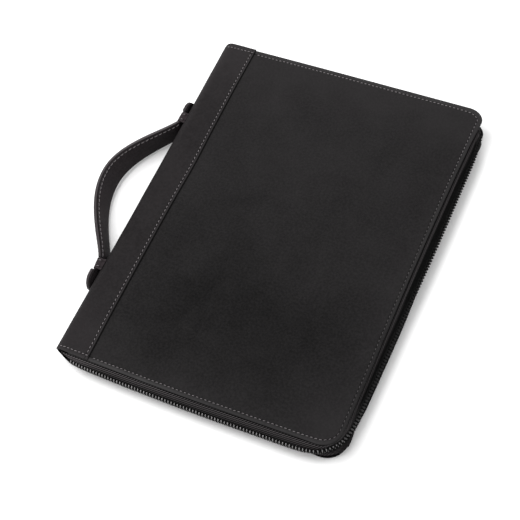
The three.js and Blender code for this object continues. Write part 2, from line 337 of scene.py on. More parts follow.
# Materials
class Shader:
    """A node material built call by call around one Principled shader."""

    def __init__(self, name):
        self.material = bpy.data.materials.new(name)
        self.material.use_nodes = True
        self.tree = self.material.node_tree
        self.bsdf = self.tree.nodes["Principled BSDF"]
        self.place = self.tree.nodes.new("ShaderNodeTexCoord").outputs["Object"]

    def node(self, kind, inputs, **settings):
        made = self.tree.nodes.new("ShaderNode" + kind)
        for key, value in settings.items():
            setattr(made, key, value)
        for key, value in inputs.items():
            self.put(made.inputs[key], value)
        return made

    def put(self, socket, value):
        if isinstance(value, bpy.types.NodeSocket):
            self.tree.links.new(value, socket)
        else:
            socket.default_value = value

    def noise(self, scale, detail=3.0, rough=0.55, distortion=0.0):
        inputs = {"Vector": self.place, "Scale": scale, "Detail": detail, "Roughness": rough}
        return self.node("TexNoise", {**inputs, "Distortion": distortion}).outputs["Fac"]

    def cells(self, scale):
        return self.node("TexVoronoi", {"Vector": self.place, "Scale": scale}).outputs["Distance"]

    def attribute(self, name):
        return self.node("Attribute", {}, attribute_name=name).outputs["Fac"]

    def span(self, value, low, high, start=0.0, end=1.0):
        inputs = {"Value": value, "From Min": low, "From Max": high, "To Min": start, "To Max": end}
        return self.node("MapRange", inputs).outputs["Result"]

    def math(self, operation, a, b):
        return self.node("Math", {0: a, 1: b}, operation=operation).outputs[0]

    def mix(self, share, a, b):
        return self.node("Mix", {0: share, 6: a, 7: b}, data_type="RGBA").outputs[2]

    def bump(self, height, distance, strength=1.0, normal=None):
        inputs = {"Height": height, "Distance": distance, "Strength": strength}
        if normal is not None:
            inputs["Normal"] = normal
        return self.node("Bump", inputs).outputs["Normal"]

    def finish(self, **sockets):
        names = {"color": "Base Color", "roughness": "Roughness", "normal": "Normal",
                 "metallic": "Metallic", "specular": "Specular IOR Level"}
        for key, value in sockets.items():
            self.put(self.bsdf.inputs[names[key]], value)
        return self.material


def grey(level, warm=0.0):
    """A neutral colour, pulled a little towards brown by warm."""
    return (level * (1 + warm), level * (1 - 0.6 * warm), level, 1.0)


def leather(name, dark, light, worn_and_lit_tone, warm):
    """Soft matte leather: cloudy colour, fine pebble grain, paler where rubbed and in painted highlights,
    darker in sewn channels and in painted shade.
    """
    s = Shader(name)
    cloud = s.span(s.noise(22, 5, 0.6, 0.4), 0.3, 0.72)
    speck = s.span(s.noise(480, 4, 0.7), 0.38, 0.64)
    pebble = s.cells(950)
    blotch = s.span(s.noise(11, 3, 0.5, 0.8), 0.35, 0.65, 0.2, 0.4)
    tone = s.math("ADD", s.math("MULTIPLY", cloud, 0.3), s.math("ADD", s.attribute("tone"), blotch))
    color = s.mix(tone, grey(dark, warm), grey(light, warm))
    speck = s.math("MULTIPLY", speck, s.span(tone, 0.0, 0.5, 0.26, 0.42))
    color = s.mix(speck, color, grey(light * 1.6, warm))
    # The wear mark pales rubbed places and painted highlights; the dark mark darkens sewn channels and
    # painted shade.
    rub = s.math("MULTIPLY", s.attribute("wear_and_highlight"), s.span(s.noise(130, 4), 0.25, 0.75, 0.55, 1.0))
    color = s.mix(rub, color, grey(worn_and_lit_tone, 0.5 * warm))
    color = s.mix(s.math("MULTIPLY", s.attribute("dark_seams_and_shade"), 0.6), color, grey(dark * 0.45, warm))
    wrinkle = s.bump(s.noise(170, 4, 0.6, 0.8), 0.00035, 0.35)
    grain = s.bump(pebble, 0.00012, 0.55, wrinkle)
    fine = s.bump(s.noise(2600, 2), 0.00004, 0.5, grain)
    rough = s.span(s.noise(60, 4), 0.25, 0.75, 0.62, 0.8)
    return s.finish(color=color, roughness=rough, normal=fine, specular=0.06)


def twill():
    """Black woven tape, its rib crests painted paler as painted light where it lies open, with fine yarns
    across.
    """
    s = Shader("tape_twill")
    crest = s.span(s.attribute("rib"), -0.3, 0.8, 0.04, 1.0)
    yarn = s.noise(1500, 2)
    color = s.mix(s.math("MULTIPLY", crest, s.attribute("pale")), grey(0.001), grey(0.12, 0.06))
    color = s.mix(s.span(yarn, 0.3, 0.7, 0.0, 0.3), color, grey(0.003))
    normal = s.bump(yarn, 0.00015, 0.7)
    rough = s.span(s.noise(300, 3), 0.3, 0.7, 0.75, 0.92)
    return s.finish(color=color, roughness=rough, normal=normal, specular=0.05)


def gunmetal(name, dull, bright):
    """Dark plated metal: cloudy tarnish, bright and polished where a painted shine is set, with fine
    scratches.
    """
    s = Shader(name)
    clear = s.math("MULTIPLY", s.span(s.noise(420, 4, 0.65), 0.3, 0.6, 0.5, 1.0), s.attribute("rub"))
    color = s.mix(clear, grey(dull, 0.04), grey(bright, 0.02))
    shine = s.span(s.attribute("rub"), 0.02, 0.2)
    polish = s.math("MULTIPLY", shine, s.span(s.noise(900, 3), 0.3, 0.7, 0.48, 0.34))
    rough = s.math("SUBTRACT", 0.62, polish)
    normal = s.bump(s.noise(1800, 3), 0.00003, 0.4)
    return s.finish(color=color, roughness=rough, normal=normal, metallic=shine, specular=0.08)


def waxed_thread():
    """Grey-brown thread with a twist of lighter and darker ply."""
    s = Shader("stitch_thread")
    ply = s.noise(1700, 2, 0.5, 1.5)
    color = s.mix(s.span(ply, 0.3, 0.7), grey(0.09, 0.07), grey(0.18, 0.06))
    color = s.mix(s.attribute("dull"), color, grey(0.02, 0.08))
    normal = s.bump(ply, 0.0001, 0.6)
    rough = s.span(s.noise(700, 2), 0.3, 0.7, 0.55, 0.75)
    return s.finish(color=color, roughness=rough, normal=normal, specular=0.3)


def pale_floor():
    s = Shader("floor_white")
    tint = s.mix(s.noise(3, 2), (0.9, 0.9, 0.9, 1.0), (0.92, 0.92, 0.92, 1.0))
    return s.finish(color=tint, roughness=0.9, specular=0.1)


COVER_LEATHER = leather("cover_leather", dark=0.0018, light=0.0118, worn_and_lit_tone=0.034, warm=0.05)
BAND_LEATHER = leather("band_leather", dark=0.0028, light=0.012, worn_and_lit_tone=0.036, warm=0.08)
KEEPER_LEATHER = leather("keeper_leather", dark=0.005, light=0.0135, worn_and_lit_tone=0.045, warm=0.2)
STRAP_LEATHER = leather("strap_leather", dark=0.008, light=0.0185, worn_and_lit_tone=0.075, warm=0.12)
TWILL = twill()
TEETH_METAL = gunmetal("teeth_gunmetal", dull=0.003, bright=0.22)
SLIDER_METAL = gunmetal("slider_gunmetal", dull=0.04, bright=0.16)
STITCH_THREAD = waxed_thread()


# Outline of the covers along the three free sides
def near_edge(x):
    share = (x - NEAR_SWELL.start) / (CASE_WIDTH - CORNER - NEAR_SWELL.start)
    swell = np.sin(math.pi * np.clip(share, 0, 1)) ** 2
    return NEAR_BOW * np.maximum(1 - 2 * x / CASE_WIDTH, 0) ** 2 - NEAR_SWELL.out * swell


def far_edge(x):
    return CASE_LENGTH - FAR_BOW * np.maximum(1 - 2 * x / CASE_WIDTH, 0) ** 2


def free_bow(y):
    """How far the free edge stands out at its ends from the line of its middle."""
    bend = FREE_BOW.out * np.clip((y - FREE_BOW.middle) / FREE_BOW.reach, -1, FREE_BOW.most) ** 2
    return bend + FREE_END.out * smooth(FREE_END.start, FREE_END.end, y)


def free_sides(start_x, step):
    """Stations along the near, free and far edges. Run is counted from the middle of the near corner."""
    corner_x = CASE_WIDTH - CORNER
    far_x, far_y = CASE_WIDTH - FAR_CORNER, CASE_LENGTH - FAR_CORNER
    count = round((corner_x - start_x) / step)
    side = np.linspace(start_x, corner_x, count, endpoint=False)
    free = np.linspace(CORNER, far_y, round((far_y - CORNER) / step))[1:-1]
    turn = np.linspace(0, 1, round(2 * HALF_ARC / step) + 1)
    sin, cos = np.sin(turn * math.pi / 2), np.cos(turn * math.pi / 2)
    back = np.linspace(start_x, far_x, count, endpoint=False)[::-1]
    stretches = [
        (side, near_edge(side), 0.0, -1.0, 0.0, side - corner_x - HALF_ARC),
        (corner_x + (CORNER + free_bow(CORNER)) * sin, CORNER - CORNER * cos, sin, -cos, turn,
         HALF_ARC * (2 * turn - 1)),
        (CASE_WIDTH + free_bow(free), free, 1.0, 0.0, 1.0, free - CORNER + HALF_ARC),
        (far_x + (FAR_CORNER + free_bow(far_y)) * cos, far_y + FAR_CORNER * sin, cos, sin, 1 + turn,
         FREE_RUN + FAR_ARC * (2 * turn - 1)),
        (back, far_edge(back), 0.0, 1.0, 2.0, FREE_RUN + FAR_ARC + far_x - back),
    ]
    columns = zip(*[np.broadcast_arrays(*stretch) for stretch in stretches])
    x, y, nx, ny, turns, run = [np.concatenate(column) for column in columns]
    return Sizes(x=x, y=y, nx=nx, ny=ny, turn=turns, run=run)


def outward(st, distance, z):
    """Points at a distance out from each station, at one height."""
    return stacked(st.x + st.nx * distance, st.y + st.ny * distance, z)


def by_side(st, sizes):
    """A size that changes from the near side over the free side to the far side."""
    return np.interp(st.turn, [0, 1, 2], [sizes.near, sizes.free, sizes.far])


def rim_row(st):
    """Distance of the rim's stitches from the edge: deeper where the row turns at the corners."""
    ease = RIM_EASE.depth * bell(st.run - RIM_EASE.past, RIM_EASE.reach) * smooth(0, RIM_EASE.start, st.run)
    return by_side(st, RIM_STITCH) + bells(st.run, RIM_BENDS) - ease


def paced(run, pitch):
    """Pitches counted along the free sides from the near corner: near and far sides share one pitch."""
    reach = 400
    length = FREE_RUN / pitch.free
    return np.interp(run, [-reach, 0, FREE_RUN, FREE_RUN + reach],
                     [-reach / pitch.near, 0, length, length + reach / pitch.near])


def paced_row(row, st, pitch):
    """Pitches counted along a row of its own length round the corners, from the near corner."""
    length = by_side(st, Sizes(near=pitch.near, free=pitch.free, far=pitch.near))
    count = np.concatenate([[0], np.cumsum(np.diff(lengths(row)) / length[1:])])
    return count - np.interp(0, st.run, count)


# Covers: plates with rolled edges, a sewn channel round the rim and a softly puffed panel
def rim_wear_and_highlight(st):
    """How far the rolled edge is rubbed and lit by a painted highlight at each station."""
    along_near = lerp(1.25, 0.65, smooth(70, 150, st.x))
    along_free = lerp(0.3, 1.0, smooth(60, 230, st.run))
    return by_side(st, RIM_WEAR_AND_HIGHLIGHT) * lerp(along_near, along_free, smooth(0, 1, st.turn))


def cover_relief(x, y, inset, row, run):
    """Height of the cover's face at a distance in from the rim, where row is the stitches' distance."""
    clear = smooth(BAND_LEAF + 0.5, BAND_LEAF + 14, x)
    puff = COVER_PUFF.high * smooth(row + 0.8, COVER_PUFF.full, inset)
    sway = waves(x, y, COVER_WAVES) * smooth(6, 34, inset)
    channel = CHANNEL * bell(inset - row, CHANNEL_WIDTH) * pulled(paced(run, STITCH_PITCH))
    return (puff + sway) * clear - channel


def cover_tone(x, y, inset):
    """Uneven colour: a painted sheen that pales it to the far end, paler along the edges and in painted
    glows of light by the two near corners, darker in a patch nearer the near edge.
    """
    tone = 0.08 + ramps(y, COVER_PAINTED_SHEEN) + 0.14 * fade(5, 22, inset)
    for patch_x, wide, patch_y, deep, change in COVER_PATCHES:
        tone = tone + change * bell(x - patch_x, wide) * bell(y - patch_y, deep)
    return tone


def cover_shape(start_x, flare=0):
    """Rings from the middle of the inner face round the rim to the middle of the outer face, up at 0,
    and their marks. Flare is the share of the corners' standing out."""
    st = free_sides(start_x, FINE_STEP)
    flared = FOLD.flare * bell(st.run - FOLD.past, FOLD.length)
    past_far = st.run - FREE_RUN - FAR_FOLD.flare_past
    flared = flare * (flared + FAR_FOLD.flare * bell(past_far, FAR_FOLD.length))
    spine_step = 3
    shares = np.linspace(1, 0, round(CASE_LENGTH / spine_step))[1:-1]
    middle = np.array([lerp(start_x, CASE_WIDTH, 0.5), CASE_LENGTH / 2])

    def ring(inset, shrink=1.0):
        free = outward(st, flared - inset, 0.0)[:, :2]
        low, high = near_edge(start_x) + inset, far_edge(start_x) - inset
        spine = stacked(start_x + inset * 0.03, lerp(low, high, shares))
        return middle + (np.concatenate([free, spine]) - middle) * shrink

    def spread(on_free, on_spine):
        """Numbers for a whole ring, from those of the free sides and one for the spine."""
        return np.concatenate([np.broadcast_to(on_free, st.x.shape), np.full(len(shares), on_spine)])

    run = spread(st.run, 0.0)
    stitch = spread(rim_row(st), RIM_STITCH.free)
    rubbed = spread(rim_wear_and_highlight(st), 0.0)
    on_rim = spread(1.0, 0.0)
    half = COVER_THICK / 2
    rows, insets, heights, under = [], [], [], []

    def add(row, inset, height, rim_underside_shade):
        rows.append(row)
        insets.append(np.broadcast_to(inset, run.shape))
        heights.append(np.broadcast_to(height, run.shape))
        under.append(on_rim * rim_underside_shade)

    # The inner face and the roll's lower half are painted dark as painted shade under the rim.
    for shrink in (0.05, 0.5):
        add(ring(COVER_ROLL, shrink), WELL_INSIDE, -COVER_THICK, 1)
    for angle in np.radians(np.linspace(-90, 90, 11)):
        inset = COVER_ROLL * (1 - math.cos(angle))
        add(ring(inset), inset, half * math.sin(angle) - half, fade(0.1, 0.6, angle))
    steps = np.concatenate([np.linspace(1.6, 5.6, 21), [6.2, 7, 8, 9.2, 10.8]])
    shrinks = 1 - np.linspace(0, 0.97, 22)[1:] ** 1.15
    for inset, shrink in [*[(i, 1.0) for i in steps], *[(steps[-1], k) for k in shrinks]]:
        row = ring(inset, shrink)
        depth = inset + (1 - shrink) * middle[0] * 0.8
        relief = cover_relief(row[:, 0], row[:, 1], depth, stitch, run)
        add(row, np.where(on_rim > 0, depth, WELL_INSIDE), relief, 0)
    rings = np.concatenate([np.array(rows), np.array(heights)[..., None]], -1)
    inset, rim_underside_shade = np.array(insets), np.array(under)
    edge = fade(stitch - 0.8, stitch + 0.8, inset) + bell(inset - 0.7, 1.0)
    # The rim's wear mark is partly a painted highlight; the dark mark adds painted shade under the roll.
    return rings, {
        "wear_and_highlight": rubbed * edge * (1 - rim_underside_shade),
        "dark_seams_and_shade": bell(inset - stitch, 0.55) + 1.5 * rim_underside_shade,
        "tone": cover_tone(rings[..., 0], rings[..., 1], inset),
    }


def make_covers():
    rings, marks = cover_shape(COVER_START)
    front = rings + [0.0, 0.0, FRONT_TOP]
    piece("front_cover_leather", loft(front), COVER_LEATHER, ["front_cover"], "leather", **marks)
    rings, marks = cover_shape(BAND_LEAF + SEAT, 1)
    back = rings * [1.0, 1.0, -1.0]
    back[..., 2] = np.clip(back[..., 2] + BACK_RELIEF, 0.0, COVER_THICK)
    piece("back_cover_leather", loft(back), COVER_LEATHER, ["back_cover"], "leather", **marks)


# Spine band: front leaf, half-oval wrap and back leaf, with ends that slope inward where the zip runs in
def band_slope(x, z):
    """How far the band's ends stand in from the covers' edges."""
    drop = 1 - z / CASE_DEPTH
    wrap = BAND_NOTCH.wrap * smooth(0.05, 0.45, drop)
    leaf = BAND_NOTCH.under * np.clip(1 - x / BAND_NOTCH.reach, 0, 1)
    return lerp(wrap, leaf, smooth(0.5, 1.0, drop))


def band_surface(across):
    """Outer face of the band, across from the front leaf's edge over the spine to the back leaf's edge."""
    leaf = BAND_LEAF - BAND_BULGE
    oval = math.pi * math.sqrt((BAND_BULGE ** 2 + MID_Z ** 2) / 2)
    angle = math.pi * (0.5 - np.clip((across - leaf) / oval, 0, 1))
    past = np.maximum(across - leaf - oval, 0)
    x = np.where(across < leaf, BAND_LEAF - across, BAND_BULGE - BAND_BULGE * np.cos(angle) + past)
    z = MID_Z + MID_Z * np.sin(angle)
    nx, nz = -np.cos(angle) * MID_Z, np.sin(angle) * BAND_BULGE
    size = np.hypot(nx, nz)
    return x, z, nx / size, nz / size, 2 * leaf + oval


def graded(length, fine, step):
    """Distances from 0 to length, with the fine ones at both ends and even steps between."""
    fine = np.asarray(fine)
    inner = np.linspace(fine[-1], length - fine[-1], round((length - 2 * fine[-1]) / step) + 1)[1:-1]
    return np.concatenate([fine, inner, (length - fine)[::-1]])


def leaf_trim(along):
    """How far the front leaf's edge stands back from a straight line: it wanders along the case."""
    return LEAF_TRIM.back + bells(along, LEAF_WANDER)


def band_point(across, along, lift=0.0):
    """Points on the band's outer face, raised by lift, with the outward normals there."""
    x, z, nx, nz, _ = band_surface(across)
    x = x - leaf_trim(along) * fade(0, LEAF_TRIM.reach, across)
    bow = SPINE_BOW.out * ((along - SPINE_BOW.middle) / SPINE_BOW.reach) ** 2
    x = x - bow * np.clip(1 - x / SPINE_BOW.depth, 0, 1)
    near = near_edge(x) + band_slope(x, z)
    far = CASE_LENGTH - far_edge(x) + band_slope(x, z)
    far_end = smooth(CASE_LENGTH - BAND_END, CASE_LENGTH, along)
    y = along + near * fade(0, BAND_END, along) - far * far_end
    return stacked(x + nx * lift, y, z + nz * lift), stacked(nx, np.zeros_like(y), nz)


def make_band():
    width = band_surface(np.zeros(1))[4]
    edge = [0, 0.12, 0.3, 0.5, 0.7, 0.9, 1.1, 1.5, 1.9, 2.3, 2.6, 2.8, 3, 3.2, 3.4, 3.7, 4, 4.5, 5.2, 6.5]
    end = [0, 0.12, 0.35, 0.7, 1.3, 2.0, 2.8, 3.3, 3.6, 3.85, 4.1, 4.35, 4.6, 4.9, 5.5, 6.5, 8]
    across = graded(width, edge, BAND_STEP)[:, None]
    along = graded(CASE_LENGTH, end, FINE_STEP)[None, :]
    from_leaf = np.minimum(across, width - across)
    from_end = np.minimum(along, CASE_LENGTH - along)
    from_row = from_end - np.where(along < CASE_LENGTH / 2, RIM_STITCH.near, RIM_STITCH.far)
    on_leaf = fade(20, 27, from_leaf)
    on_wrap = smooth(20, 33, across) * fade(38, 48, across)
    flat = fade(width * 0.55, width * 0.75, across)

    # Form: a sewn channel along each edge, a thinned and rounded edge, a slightly uneven face
    leaf_row = bell(from_leaf - BAND_STITCH, CHANNEL_WIDTH) * pulled(along / STITCH_PITCH.free)
    channel = leaf_row * smooth(2, 4, from_end) + bell(from_row, CHANNEL_WIDTH) * on_leaf
    sway = 1 + waves(along, across, BAND_WAVES) / 0.2
    top = 0.1 * smooth(4, 9, from_leaf) * smooth(5, 12, from_end) * sway - 0.12
    left = rounding(from_leaf, 1.2 * BAND_PAINT) * rounding(from_end, 0.6)
    skive = BAND_SKIVE.deep * fade(0, BAND_SKIVE.reach, from_leaf)
    half = BAND_WALL / 2
    lift = half * (left - 1) - np.minimum(CHANNEL * channel, 0.45) + (top - skive) * flat
    outer, _ = band_point(across, along, lift)
    inner, _ = band_point(across, along, -half * (left + 1))

    # Marks: rubbed edges, partly a painted highlight, painted cut edges, colour darker at the near end and
    # paler towards the far end, and a painted glow of floor bounce on the far wrap
    # Painted light: a glow of light bounced off the floor, on the wrap towards the far end.
    far_wrap_bounce_light = on_wrap * smooth(190, 290, along)
    edges = np.maximum(bell(from_leaf - 1.6, 0.55), bell(from_end, 0.9))
    wear_and_highlight = 0.22 * fade(-0.8, 0.8, from_row) + 0.45 * edges
    wear_and_highlight = wear_and_highlight + 0.1 * smooth(290, 335, along) + 0.12 * far_wrap_bounce_light
    sewn = np.maximum(bell(from_leaf - BAND_STITCH, 0.5), bell(from_row, 0.5) * on_leaf)
    paint = 1.45 * fade(0.55 * BAND_PAINT, 0.95 * BAND_PAINT, from_leaf) * smooth(0.5, 3.5, from_end)
    edge_end = 1.6 * fade(0.1, 0.4, from_end) * (1 - on_leaf)
    dark_seams_and_shade = np.maximum(np.maximum(sewn, paint), edge_end)
    tone = 0.9 + ramps(along, BAND_TONE) + 0.35 * far_wrap_bounce_light
    size = outer.shape[:2]
    marks = {
        "wear_and_highlight": np.broadcast_to(wear_and_highlight, size),
        "dark_seams_and_shade": np.concatenate([dark_seams_and_shade, np.full(size, 1.6)]),
        "tone": np.broadcast_to(tone, size),
    }
    piece("spine_band_leather", sheet(outer, inner), BAND_LEATHER, ["spine_band"], "band_leather", **marks)


# Zip: the chain stands out from the covers and runs inward at the spine, the tapes meeting behind it
def slack_share(st):
    """Where the lower tape hangs out past the teeth: on the free side's near half and by the far corner."""
    taut = smooth(*SLACK.taut, st.run) * fade(*SLACK.far, st.run - FREE_RUN)
    return 1 - taut


def chain_offset(st):
    """How far the chain stands out from the covers' edge."""
    dive, bowed, corner = CHAIN_DIVE, CHAIN_BOW, CHAIN_CORNER
    at_spine = dive.depth * np.exp((dive.start - st.x) / dive.length)
    at_spine = at_spine + dive.slow * np.exp(-st.x / dive.slow_length)
    from_middle = np.clip((st.run - FREE_RUN * bowed.middle) / bowed.reach, -bowed.most, 1)
    bow = np.where(from_middle < 0, bowed.near, bowed.far) * from_middle ** 2
    bow = bow + free_bow(st.run + CORNER - HALF_ARC) + SLACK.tuck * slack_share(st) ** 2
    past_far = st.run - FREE_RUN
    far_cut = smooth(*corner.far_start, past_far) * fade(*corner.far_end, past_far)
    cut = corner.near * bell(st.run, corner.length) + corner.far * far_cut
    return by_side(st, CHAIN_OUT) - at_spine - bow * (1 - np.abs(st.turn - 1)) - cut


def tape_pale(st, share, out, bulge, loose, at_spine):
    """Painted light on the ribs: paler where the tape lies open to the light and by the spine, with painted
    shade under the rim, towards the teeth and over the free side's steep part.
    """
    bulge, loose, at_spine = (values[:, None] for values in (bulge, loose, at_spine))
    past = share - lerp(0.372, 0.384, bulge) - 0.025 * at_spine
    by_spine = lerp(1.4, 0.88, smooth(20, 50, st.x))
    on_near = lerp(by_spine, 0.74, smooth(80, 150, st.x))
    dim = lerp(on_near, 0.72, smooth(0, 1, st.turn))[:, None]
    close = (fade(60, 140, st.run) + 0.3 * smooth(-50, -20, st.run - FREE_RUN))[:, None]
    by_rim = 0.15 + 0.85 * smooth(-0.5, 0.55, out + 0.45 * close)
    shown = lerp(smooth(0, 0.03, past), by_rim, bulge)
    fall = (0.7 - 0.5 * at_spine) * smooth(0.44, 0.8, share)
    shade = bulge * smooth(1.55, 2.5, out + close) * (1 - 0.4 * loose)
    return dim * shown * (1 - fall) * fade(0.74, 0.84, share) * (1 - shade)


def tape_shape(rim_z):
    """One tape: its lap inside the cover, a dip under the rim, then out and down into the teeth."""
    st = free_sides(TAPE_START, RIB_PITCH / 5)
    away = math.copysign(1, MID_Z - rim_z)
    lower = max(away, 0)
    half = TAPE_THICK / 2
    lap_z = rim_z + away * (SEAT + half)
    dip_z = lap_z + away * TAPE_DIP
    rise = CHAIN_HEIGHT / 2 + 0.2
    steep = np.tan(np.radians(by_side(st, TOOTH_LEAN)))
    at_spine = fade(TAPE_START, TAPE_SLANT.end, st.x)
    drawn_x = st.x + 0.7 * TAPE_SLANT.drawn * at_spine
    chain = chain_offset(Sizes(x=drawn_x, turn=st.turn, run=st.run))

    # The lower tape hangs slack, with a fold at the near corner and a lump at the far one
    loose = lower * bell(st.run - FOLD.past, FOLD.length)
    lump = lower * bell(st.run - FREE_RUN - FAR_FOLD.past, FAR_FOLD.length)
    full = slack_share(st) if lower else 1 + 0 * st.run
    turns = [0, TAPE_BULGE.start, FREE_RUN - TAPE_BULGE.end, FREE_RUN + HALF_ARC]
    bulge = np.interp(st.run, turns, [0, 1, 1, TAPE_BULGE.far])
    bulge = np.maximum(bulge * full, loose)
    slack = lower * SLACK.out * full * bulge + FAR_FOLD.out * lump + FOLD.out * loose

    # Line across the tape: share of the way, distance out from the rim, height
    top, top_z = chain - rise * steep - by_side(st, TAPE_BACK) * (1 - lower * full), MID_Z - away * rise
    dip = np.minimum(-1.4, top - 0.4)
    knots = [
        (0.0, -TAPE_LAP, lap_z),
        (0.18, np.minimum(-4, top - 2), lap_z),
        (0.36, dip, dip_z),
        (0.56, lerp(lerp(dip, top, 0.5), top - 0.4 + slack, bulge),
         lerp(lerp(dip_z, top_z, 0.5), dip_z + away * 0.5, bulge)),
        (0.8, top, top_z),
        (1.0, chain - 0.3 * steep, MID_Z - away * 0.3),
    ]
    places, outs, heights = zip(*knots)
    share = np.concatenate([np.linspace(0, 0.3, 4), np.linspace(0.33, 0.47, 10), np.linspace(0.52, 1, 10)])
    weights = np.stack([np.interp(share, places, row) for row in np.eye(len(knots))])
    out, z = eased(stacked(*outs) @ weights), eased(stacked(*heights) @ weights)
    do, dz = np.gradient(out, axis=1), np.gradient(z, axis=1)
    size = np.hypot(do, dz)
    face_out, face_z = dz * away / size, -do * away / size

    # Ribs run aslant across the tape, drawn towards the spine at its ends
    across = np.cumsum(np.hypot(np.diff(out, prepend=out[:, :1]), np.diff(z, prepend=z[:, :1])), 1)
    slant = TAPE_SLANT.drawn * (smooth(0.3, 1.0, share) - 0.3) * at_spine[:, None]
    drawn = st.run[:, None] + slant * np.sign(1 - st.turn)[:, None]
    rib = np.cos(2 * math.pi * (drawn - RIB_LEAN * across * away) / RIB_PITCH)
    lift = RIB_DEPTH * 0.5 * (rib - 1)
    x, y, nx, ny = (values[:, None] for values in (st.x, st.y, st.nx, st.ny))

    def face(distance):
        reach = out + face_out * distance
        return stacked(x + nx * reach + slant, y + ny * reach, z + face_z * distance)

    # Painted light and shade on the tape's ribs.
    pale = tape_pale(st, share, out, bulge, loose, at_spine)
    woven = lerp(rib, 0.3, 0.75 * smooth(-14, 8, st.run)[:, None])
    return sheet(face(half + lift), face(-half)), woven, pale


def make_tapes():
    for name, node, rim_z in (("zip_tape_upper", "zip_tape_front", FRONT_UNDER),
                              ("zip_tape_lower", "zip_tape_back", COVER_THICK)):
        shape, rib, pale = tape_shape(rim_z)
        piece(name, shape, TWILL, [node], "tape", rib=rib, pale=pale)


def tooth():
    """One tooth: a leg that grips the tape, a waist and a head that locks past the middle.
    Sections: height, width along the chain, depth."""
    sections = [
        (3.0, 0.7, 1.3), (2.8, 1.0, 2.1), (2.3, 1.1, 2.4), (1.3, 1.1, 2.4), (0.9, 0.9, 2.1),
        (0.4, 1.05, 2.0), (-0.5, 1.05, 2.0), (-0.95, 0.7, 1.3),
    ]
    rings = []
    for height, wide, deep in sections:
        a, b, c = wide / 2, deep / 2, TOOTH_CORNER
        half = [(a, b - c), (a - c, b), (c - a, b), (-a, b - c)]
        ring = half + [(-t, -n) for t, n in half]
        rings.append([(t, n, height) for t, n in ring])
    return loft(np.array(rings))


def make_teeth():
    st = free_sides(CHAIN_START, 1.0)
    keep = (st.turn < 2) | (st.x > SLIDER.x + SLIDER.length / 2)
    path = outward(st, chain_offset(st), MID_Z)[keep]
    run = lengths(path)
    tangent = np.gradient(path, run, axis=0)
    lean = by_side(st, TOOTH_LEAN)[keep]
    count = paced(st.run, TOOTH_PITCH)[keep]
    grown = 0.12 * (1 - slack_share(st)) - bells(st.run, [(14, 22, 0.22), (FREE_RUN + 2, 10, 0.4)])
    wide = (by_side(st, TOOTH_WIDE) * (1 + grown))[keep]
    by_corner = (bell(st.run - 6, 26) + 0.06 * fade(20, 220, st.run)) * smooth(0, 1, st.turn)
    template, faces = tooth()
    leg_share = 0.25 + 0.75 * smooth(0.6, 1.5, template[:, 2])
    upright = np.array([0, 0, 1])
    # Painted shine, set by side and stronger by the near corner; each tooth is brighter at its leg than at
    # its head.
    rows, rub = [], []
    for shift, side, rubbed in ((0.25, 1, UPPER_PAINTED_SHINE), (0.75, -1, LOWER_PAINTED_SHINE)):
        at = np.interp(np.arange(math.ceil(count[0]), math.floor(count[-1])) + shift, count, run)
        along = unit(read_off(at, run, tangent))
        flat = np.cross(along, upright)
        tilt = np.radians(np.interp(at, run, lean) * side)[:, None]
        out = flat * np.cos(tilt) + upright * np.sin(tilt)
        up = (upright * np.cos(tilt) - flat * np.sin(tilt)) * side
        size = np.interp(at, run, wide)[:, None]
        rows.append(stamp(template, faces, read_off(at, run, path), (along * size, out * size, up)))
        bright = (by_side(st, rubbed) + rubbed.corner * by_corner)[keep]
        rub.append(np.interp(at, run, bright)[:, None] * leg_share)
    piece("zip_teeth", join(rows), TEETH_METAL, ["zip_chain"], "zip_metal", rub=np.concatenate(rub))


def plate(outline, y_low, y_high, bevel):
    """Rounded plate with an outline in x and z, as points and faces."""
    bm = bmesh.new()
    low = [bm.verts.new((x, y_low, z)) for x, z in outline]
    face = bm.faces.new(low)
    top = bmesh.ops.extrude_face_region(bm, geom=[face])["geom"]
    raised = [v for v in top if isinstance(v, bmesh.types.BMVert)]
    bmesh.ops.translate(bm, verts=raised, vec=(0, y_high - y_low, 0))
    bmesh.ops.recalc_face_normals(bm, faces=bm.faces)
    bmesh.ops.bevel(bm, geom=bm.edges[:], offset=bevel, segments=2, affect="EDGES", clamp_overlap=True)
    bm.verts.index_update()
    points = np.array([v.co[:] for v in bm.verts])
    faces = [[v.index for v in f.verts] for f in bm.faces]
    bm.free()
    return points, faces


def rounded(x_low, x_high, z_low, z_high, radius, steps=5):
    """Outline of a rectangle with rounded corners."""
    corners = ((x_high, z_high, 0), (x_low, z_high, 1), (x_low, z_low, 2), (x_high, z_low, 3))
    points = []
    for x, z, quarter in corners:
        cx = x + (-radius if x == x_high else radius)
        cz = z + (-radius if z == z_high else radius)
        for angle in np.linspace(quarter, quarter + 1, steps) * math.pi / 2:
            points.append((cx + radius * math.cos(angle), cz + radius * math.sin(angle)))
    return points


def ring_plate(outer, inner, y_low, y_high):
    """Plate between two outlines of as many points: a plate with a hole."""
    outer, inner = np.array(outer), np.array(inner)
    loops = []
    for line, y in ((outer, y_low), (outer, y_high), (inner, y_high), (inner, y_low)):
        loops.append(np.stack([line[:, 0], np.full(len(line), y), line[:, 1]], 1))
    count = len(outer)
    faces = []
    for k in range(4):
        faces += loop_faces(count, k * count, (k + 1) % 4 * count)
    return np.concatenate(loops), faces


